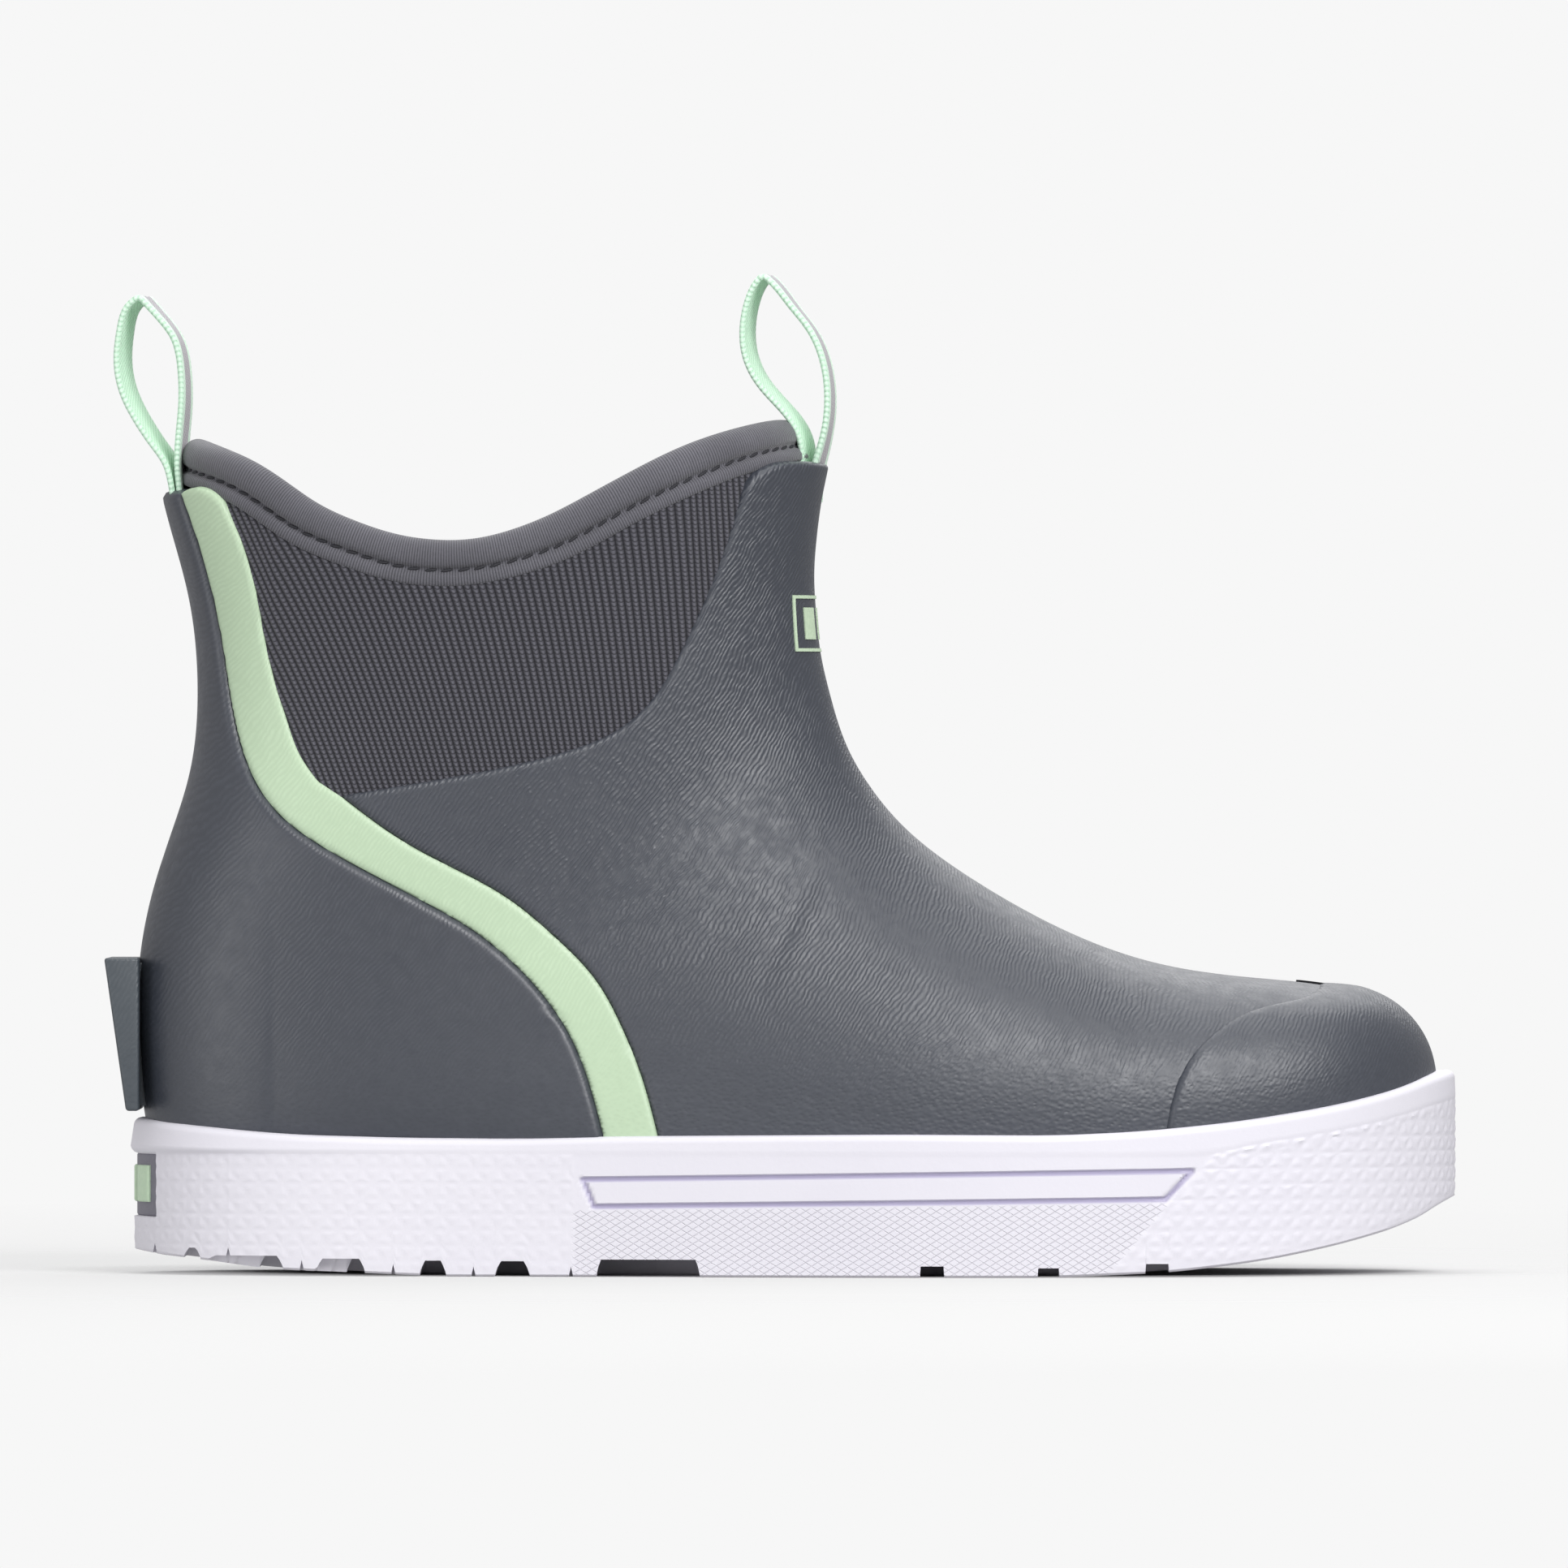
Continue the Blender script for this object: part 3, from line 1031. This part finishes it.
def build_stitches(line, along, out, up, total):
    """Running stitch in the binding's seam."""
    count, ring = int(total / STITCH_PITCH), 8
    turn = (2 * np.pi * np.arange(ring) / ring)[:, None]
    points, faces = [], []
    for k in range(count):
        at = int(round((k + 0.5) / count * len(line))) % len(line)
        centre = line[at] + out[at] * -1.12 + up[at] * -0.05
        way = along[at] * np.cos(STITCH_TILT) + up[at] * np.sin(STITCH_TILT)
        ring_at = np.cross(out[at], way) * np.cos(turn) * 0.33 + out[at] * np.sin(turn) * 0.3
        first = len(points) * ring
        points += [centre + way * place * STITCH_LENGTH + ring_at * thick
                   for place, thick in STITCH]
        faces += (grid_faces(len(STITCH), ring) + first).tolist()
        faces.append([first + j for j in range(ring)][::-1])
        faces.append([first + (len(STITCH) - 1) * ring + j for j in range(ring)])
    make("collar_stitching", np.concatenate(points), faces, thread_dark, "boot")


def build_liner():
    """Bootie lining: a closed shell from the toe up into the binding."""
    rows, count = 150, 260
    turns, places, _ = even_turns(count)
    share = np.linspace(0, 1, rows)[:, None]
    layers = [foot_point(share * collar_stations(turns, -depth, 1.0), np.tile(turns, (rows, 1)),
                         -depth, 1.0).reshape(-1, 3) for depth in (LINER_OUTER, LINER_INNER)]
    size = rows * count
    outer, ring = grid_faces(rows, count), np.arange(count)
    faces = outer.tolist() + (outer[:, ::-1] + size).tolist()
    faces += bridge(size - count + ring, 2 * size - count + ring)
    faces += [ring[::-1].tolist(), (size + ring).tolist()]
    make("bootie_lining", np.concatenate(layers), faces, lining_grey, "boot",
         {"run": np.tile(places, 2 * rows)}, 60, "bootie_liner")


def build_collar():
    line, along, out, up, places, total = collar_frame()
    build_binding(line, out, up, places, total)
    build_stitches(line, along, out, up, total)


build_collar()
build_liner()

# ---------------- footbed

FOOTBED_INSET = 5.9
FOOTBED_INSETS = (0.5, 0.0, 0.0, 0.0, 0.4)     # further inset at each level, rounding the edges
FOOTBED_LEVELS = (24.85, 25.3, 26.6, 27.9, 28.35)
COVER_LEVELS = (28.4, 28.7, 29.2, 29.55)
FOOTBED_TOE = 112.0
FOOTBED_ROWS, FOOTBED_COLUMNS = 120, 25


def footbed_outline(z, inset):
    """Inner and outer edge of the footbed at height z, from the toe to the heel: x, y and y."""
    stations = np.linspace(GIRTH_KNOTS[0], GIRTH_KNOTS[13], 900)
    ends = foot_point(np.stack([stations, stations]), np.array([[0.0], [np.pi]]), -inset)
    stations = stations[(ends[0, :, 2] > z) & (ends[1, :, 2] < z) & (ends[1, :, 0] < FOOTBED_TOE)]
    sides = []
    for side in (1, -1):
        turns = bisect(np.zeros(len(stations)), np.full(len(stations), np.pi),
                       lambda turn: foot_point(stations, side * turn, -inset)[:, 2] > z)
        line = foot_point(stations, side * turns, -inset)
        sides.append(line[line[:, 0] < FOOTBED_TOE])
    toe = min(line[0, 0] for line in sides)
    heel = max(line[-1, 0] for line in sides)
    x = toe + (heel - toe) * (0.5 - 0.5 * np.cos(np.linspace(0, np.pi, FOOTBED_ROWS)))
    inner, outer = (np.interp(-x, -line[:, 0], line[:, 1]) for line in sides)
    round_toe = np.sqrt(np.clip(1 - (1 - np.clip((toe - x) / 22.0, 0, 1)) ** 2.4, 0, 1))
    middle, half = (inner + outer) / 2, (inner - outer) / 2 * round_toe
    return x, middle + half, middle - half


def footbed_slab(name, levels, material, node, crown):
    """A layer of the footbed, its top dished by crown."""
    outlines = [footbed_outline(z, FOOTBED_INSET + more) for z, more in zip(levels, FOOTBED_INSETS)]
    across = np.linspace(-1, 1, FOOTBED_COLUMNS)

    def sheet(edges, z, lift):
        x, inner, outer = (v[:, None] for v in edges)
        y = (inner + outer) / 2 + across * (inner - outer) / 2
        dip = lift * (np.abs(across) ** 3 - 0.35) * np.clip((x + 150) / 40, 0, 1)
        return np.stack([x + 0 * y, y, z + dip], -1).reshape(-1, 3)

    size = FOOTBED_ROWS * FOOTBED_COLUMNS
    points = [sheet(outlines[0], levels[0], 0.0), sheet(outlines[-1], levels[-1], crown)]
    quads = grid_faces(FOOTBED_ROWS, FOOTBED_COLUMNS, closed=False)
    faces = quads[:, ::-1].tolist() + (quads + size).tolist()
    rim = np.arange(FOOTBED_ROWS) * FOOTBED_COLUMNS
    rim = np.concatenate([rim, (rim + FOOTBED_COLUMNS - 1)[::-1]])
    previous = rim
    for k, ((x, inner, outer), z) in enumerate(zip(outlines[1:-1], levels[1:-1])):
        points.append(np.stack([np.append(x, x[::-1]), np.append(outer, inner[::-1]),
                                np.full(len(rim), z)], 1))
        current = 2 * size + k * len(rim) + np.arange(len(rim))
        faces += bridge(previous, current)
        previous = current
    faces += bridge(previous, rim + size)
    points = np.concatenate(points)
    make(name, points, faces, material, "footbed", {"run": points[:, 0]}, 50, node)


footbed_slab("footbed_base", FOOTBED_LEVELS, foam_grey, "footbed_foam", 0.0)
footbed_slab("footbed_top_cover", COVER_LEVELS, bed_grey, "footbed_cover", 0.9)

# ---------------- pull loops

STRAP_WIDTH, STRAP_PLY, STRAP_TURN = 18.0, 1.3, math.radians(10)
STRAP_ACROSS = np.array([math.cos(STRAP_TURN), -math.sin(STRAP_TURN), 0.0])
# Middle line of the webbing, x and z: up the first ply to the fold at the top, then down.
FRONT_LOOP = ([(5.7, 170.4), (5.6, 174.5), (5.6, 178.6), (5.6, 181.8), (3.9, 187.0), (0.2, 191.7),
               (-4.4, 197.0), (-7.2, 203.0), (-7.7, 209.0), (-6.7, 214.6), (-5.0, 218.4),
               (-3.9, 219.8)],
              [(-2.8, 219.9), (-1.4, 218.6), (2.6, 213.6), (6.9, 208.0), (9.7, 201.6),
               (10.8, 194.8), (10.6, 188.6), (9.3, 182.2), (8.3, 178.6), (7.5, 174.5),
               (7.2, 170.4)])
REAR_LOOP = ([(-132.9, 168.6), (-133.1, 172.0), (-133.6, 175.0), (-134.6, 178.4), (-137.4, 182.6),
              (-141.7, 189.0), (-144.6, 195.0), (-145.8, 201.6), (-145.2, 208.4), (-143.4, 213.6),
              (-141.4, 215.3)],
             [(-140.6, 215.2), (-136.8, 211.0), (-133.5, 206.4), (-131.9, 199.6), (-131.7, 191.6),
              (-132.3, 184.6), (-132.4, 178.6), (-132.0, 175.0), (-131.6, 172.0), (-131.4, 168.6)])
# How far the webbing is turned at shares of its length.
STRAP_TURNS = ((0.0, 9.0), (0.25, 9.5), (0.5, 7.0), (0.62, 5.0), (0.85, 5.5), (1.0, 9.0))
STRAP_GREY_HALF = 5.0     # the outer face is grey this far from its middle


def strap_section():
    """Half width and half thickness of the webbing: a thin plate with soft edges and low ribs."""
    half, edge = STRAP_WIDTH / 2, STRAP_PLY / 2
    turns = np.pi / 2 * np.arange(5) / 4
    corner = np.stack([half - edge + edge * np.sin(turns), edge * np.cos(turns)], 1)
    inner = np.linspace(-(half - edge), half - edge, 42)
    top = np.stack([inner, edge * (0.9 + 0.10 * np.cos(2 * np.pi * inner / 1.6))], 1)
    right = np.concatenate([corner[1:], (corner * (1, -1))[-2::-1]])
    return np.concatenate([top, right, -top[1:], -right[:-1]])


def build_loop(name, runs, nodes):
    """Webbing loop: one length folded over at the top, both ends sewn into the collar."""
    line = np.vstack([curve_through(run, int(run_length(run)[-1] / 0.4)) for run in runs])
    run = run_length(line)
    step = unit(np.gradient(line, axis=0))
    out = np.stack([-step[:, 1], step[:, 0]], 1)
    for _ in range(3):
        out[1:-1] = (out[:-2] + out[1:-1] * 2 + out[2:]) / 4
    out = unit(out)
    section = strap_section()
    count, width = len(line), len(section)
    turn = np.radians(np.interp(run / run[-1], *np.array(STRAP_TURNS).T))
    side = np.stack([-np.sin(turn), -np.cos(turn), np.zeros(count)], 1)
    weave = 0.10 * np.sin(2 * np.pi * run / 1.2)
    origin = np.array([runs[0][3][0], 0.0, 0.0])
    points = np.zeros((count, width, 3))
    for j, (c, t) in enumerate(section):
        wide = c + np.sign(c) * weave * np.clip((abs(c) - 8.2) / 0.6, 0, 1)
        x, z = (line + out * t).T[..., None]
        points[:, j] = (origin + STRAP_ACROSS * (x - origin[0]) + np.array([0, 0, 1.0]) * z
                        + side * wide[:, None])
    faces = grid_faces(count, width).tolist()
    faces += [list(range(width))[::-1], [(count - 1) * width + j for j in range(width)]]
    piece = make(name, points.reshape(-1, 3), faces, [web_green, web_grey], None,
                 {"run": np.repeat(run, width), "cross": np.tile(section[:, 0], count)}, 60)
    grey = (section[:, 1] > 0) & (np.abs(section[:, 0]) < STRAP_GREY_HALF)
    slots = [int(len(f) == 4 and grey[f[0] % width]) for f in faces]
    piece.data.polygons.foreach_set("material_index", slots)
    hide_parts(*nodes)
    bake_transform(piece)


build_loop("front_loop_webbing", FRONT_LOOP, ("front_pull_loop", "front_loop_tail"))
build_loop("rear_loop_webbing", REAR_LOOP, ("rear_pull_loop", "rear_loop_tail"))

# ---------------- heel kick, badge and print

KICK_SIDE = [(-144.4, 36.0), (-149.2, 69.7), (-141.5, 69.7), (-141.5, 36.0)]
SPINE_SIDE = [(-142.3, 37.0), (-142.3, 68.6), (-136.0, 68.6), (-136.0, 37.0)]
KICK_WIDTH, KICK_SPINE = 38.0, 18.0
BADGE_EDGE = 0.15
BADGE_BARS, BADGE_BAR_HALF, BADGE_BAR_Z = (-10.4, 0.0, 10.4), 3.6, (15.9, 24.0)
PRINT_Z, PRINT_TALL, PRINT_WIDE, PRINT_LINE, PRINT_RISE = 143.4, 12.4, 29.0, 0.7, 0.28
PRINT_BARS, PRINT_BAR_HALF, PRINT_BAR_TALL = (-8.6, 0.0, 8.6), 2.5, 7.0


def beveled_prism(name, side, width, bevel):
    """Block of the heel kick: its side view drawn out across the boot, with rounded edges."""
    count = len(side)
    points = [(x, y, z) for y in (-width / 2, width / 2) for x, z in side]
    ring = np.arange(count)
    faces = [ring.tolist(), (count + ring[::-1]).tolist()]
    faces += bridge(count + ring, ring)
    piece = make(name, points, faces, kick_grey, None)
    edges = piece.modifiers.new("edges", "BEVEL")
    edges.width = bevel * MM
    edges.segments = 4
    edges.limit_method = "ANGLE"
    bpy.context.view_layer.update()
    graph = bpy.context.evaluated_depsgraph_get()
    mesh = bpy.data.meshes.new_from_object(piece.evaluated_get(graph))
    piece.modifiers.clear()
    piece.data = mesh
    mesh.set_sharp_from_angle(angle=math.radians(50))
    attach(piece, "boot")
    return piece


def build_kick():
    """Kick-off lug: a plate across the heel on a narrower spine that runs in to the heel."""
    plate = beveled_prism("heel_kick_plate", KICK_SIDE, KICK_WIDTH, 0.7)
    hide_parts("heel_kick")
    beveled_prism("heel_kick_spine", SPINE_SIDE, KICK_SPINE, 0.5)


def ticks(ends, step, more=()):
    """Places between two ends, about a step apart, and any more that are asked for."""
    even = np.linspace(*ends, 2 + int((ends[1] - ends[0]) / step))
    return np.unique(np.concatenate([even, more]))


def heel_patch(name, y_ends, z_ends, depth, thickness, material, node=None):
    """Small raised patch that follows the curved back of the sole."""
    ring = ring_through(SOLE_OUTLINE, 4000)
    back = ring[(ring[:, 0] < -118) & (np.abs(ring[:, 1]) < 30)]
    back = back[np.argsort(back[:, 1])]
    ys, zs = ticks(y_ends, 0.35), ticks(z_ends, 0.35)
    x = np.interp(ys, back[:, 1], back[:, 0])
    out = unit(np.stack([-np.ones_like(x), np.gradient(x, ys), np.zeros_like(x)], 1))
    y, z = np.meshgrid(ys, zs)
    edge = np.minimum(np.minimum(y - y_ends[0], y_ends[1] - y),
                      np.minimum(z - z_ends[0], z_ends[1] - z))
    normal = np.tile(out, (len(zs), 1))
    front = np.stack([np.tile(x, (len(zs), 1)), y, z], -1).reshape(-1, 3)
    front = front + normal * (depth - rounded(edge, 0.3)).reshape(-1, 1)
    faces = [tuple(f) for f in grid_faces(len(zs), len(ys), closed=False).tolist()]
    points, polygons = thickened(front, faces, normal, thickness)
    make(name, points, polygons, material, "boot", angle=50, node=node)


def build_badge():
    y_low, y_high, z_low, z_high = BADGE
    heel_patch("heel_badge_panel", (y_low + BADGE_EDGE, y_high - BADGE_EDGE),
               (z_low + BADGE_EDGE, z_high - BADGE_EDGE), -0.5, 0.9, badge_grey,
               "heel_badge_plate")
    for number, centre in enumerate(BADGE_BARS):
        heel_patch("heel_badge_bar_%d" % (number + 1),
                   (centre - BADGE_BAR_HALF, centre + BADGE_BAR_HALF), BADGE_BAR_Z, 0.15, 0.8,
                   mark_green, "heel_badge_mark" if number == 0 else None)


def front_patch(name, y_ends, z_ends, hole=((), ()), node=None):
    """Thin raised print on the front of the shaft, with an optional rectangular hole."""
    ys, zs = ticks(y_ends, 0.4, hole[0]), ticks(z_ends, 0.4, hole[1])
    grid = np.array([[skin_tree.ray_cast(Vector((60, y, z)), Vector((-1, 0, 0)))[0]
                      for y in ys] for z in zs])
    normal = unit(np.cross(np.gradient(grid, axis=1), np.gradient(grid, axis=0)))
    if normal[..., 0].mean() < 0:
        normal = -normal
    faces = []
    for quad in grid_faces(len(zs), len(ys), closed=False).tolist():
        i, j = divmod(quad[0], len(ys))
        y, z = (ys[j] + ys[j + 1]) / 2, (zs[i] + zs[i + 1]) / 2
        if not (node and hole[0][0] < y < hole[0][1] and hole[1][0] < z < hole[1][1]):
            faces.append(tuple(quad))
    points, polygons = thickened((grid + normal * PRINT_RISE).reshape(-1, 3), faces,
                                 normal.reshape(-1, 3), PRINT_RISE + 0.1)
    used = sorted({v for f in polygons for v in f})
    fresh = {v: i for i, v in enumerate(used)}
    make(name, points[used], [tuple(fresh[v] for v in f) for f in polygons], print_green,
         "boot", angle=40, node=node)


def build_print():
    """A frame with three bars in it."""
    half, tall = PRINT_WIDE / 2, PRINT_TALL / 2
    front_patch("shaft_print_frame", (-half, half), (PRINT_Z - tall, PRINT_Z + tall),
                ((-half + PRINT_LINE, half - PRINT_LINE),
                 (PRINT_Z - tall + PRINT_LINE, PRINT_Z + tall - PRINT_LINE)), "shaft_print")
    for number, centre in enumerate(PRINT_BARS):
        front_patch("shaft_print_bar_%d" % (number + 1),
                    (centre - PRINT_BAR_HALF, centre + PRINT_BAR_HALF),
                    (PRINT_Z - PRINT_BAR_TALL / 2, PRINT_Z + PRINT_BAR_TALL / 2))


build_kick()
build_badge()
build_print()

# ---------------- hidden pieces keep their CAD shape


def dress_hidden():
    """Inner layers that nothing shows still carry a worked material."""
    foam = plain("sole_foam", (0.72, 0.72, 0.68), (0.80, 0.80, 0.77), 0.8, 1200, 0.0002)
    board = plain("pressed_board", (0.52, 0.44, 0.31), (0.66, 0.58, 0.44), 0.85, 700, 0.0002)
    plastic = plain("stiffener_sheet", (0.72, 0.71, 0.67), (0.80, 0.79, 0.75), 0.55, 500, 0.0001)
    steel = plain("spring_steel", (0.50, 0.50, 0.51), (0.60, 0.60, 0.61), 0.35, 900, 0.00003, 1.0)
    for node, material in (("midsole_foam", foam), ("lasting_board", board),
                           ("toe_puff", plastic), ("heel_counter", plastic),
                           ("arch_shank", steel)):
        for socket in bpy.data.objects[node].material_slots:
            socket.link = "OBJECT"
            socket.material = material


dress_hidden()
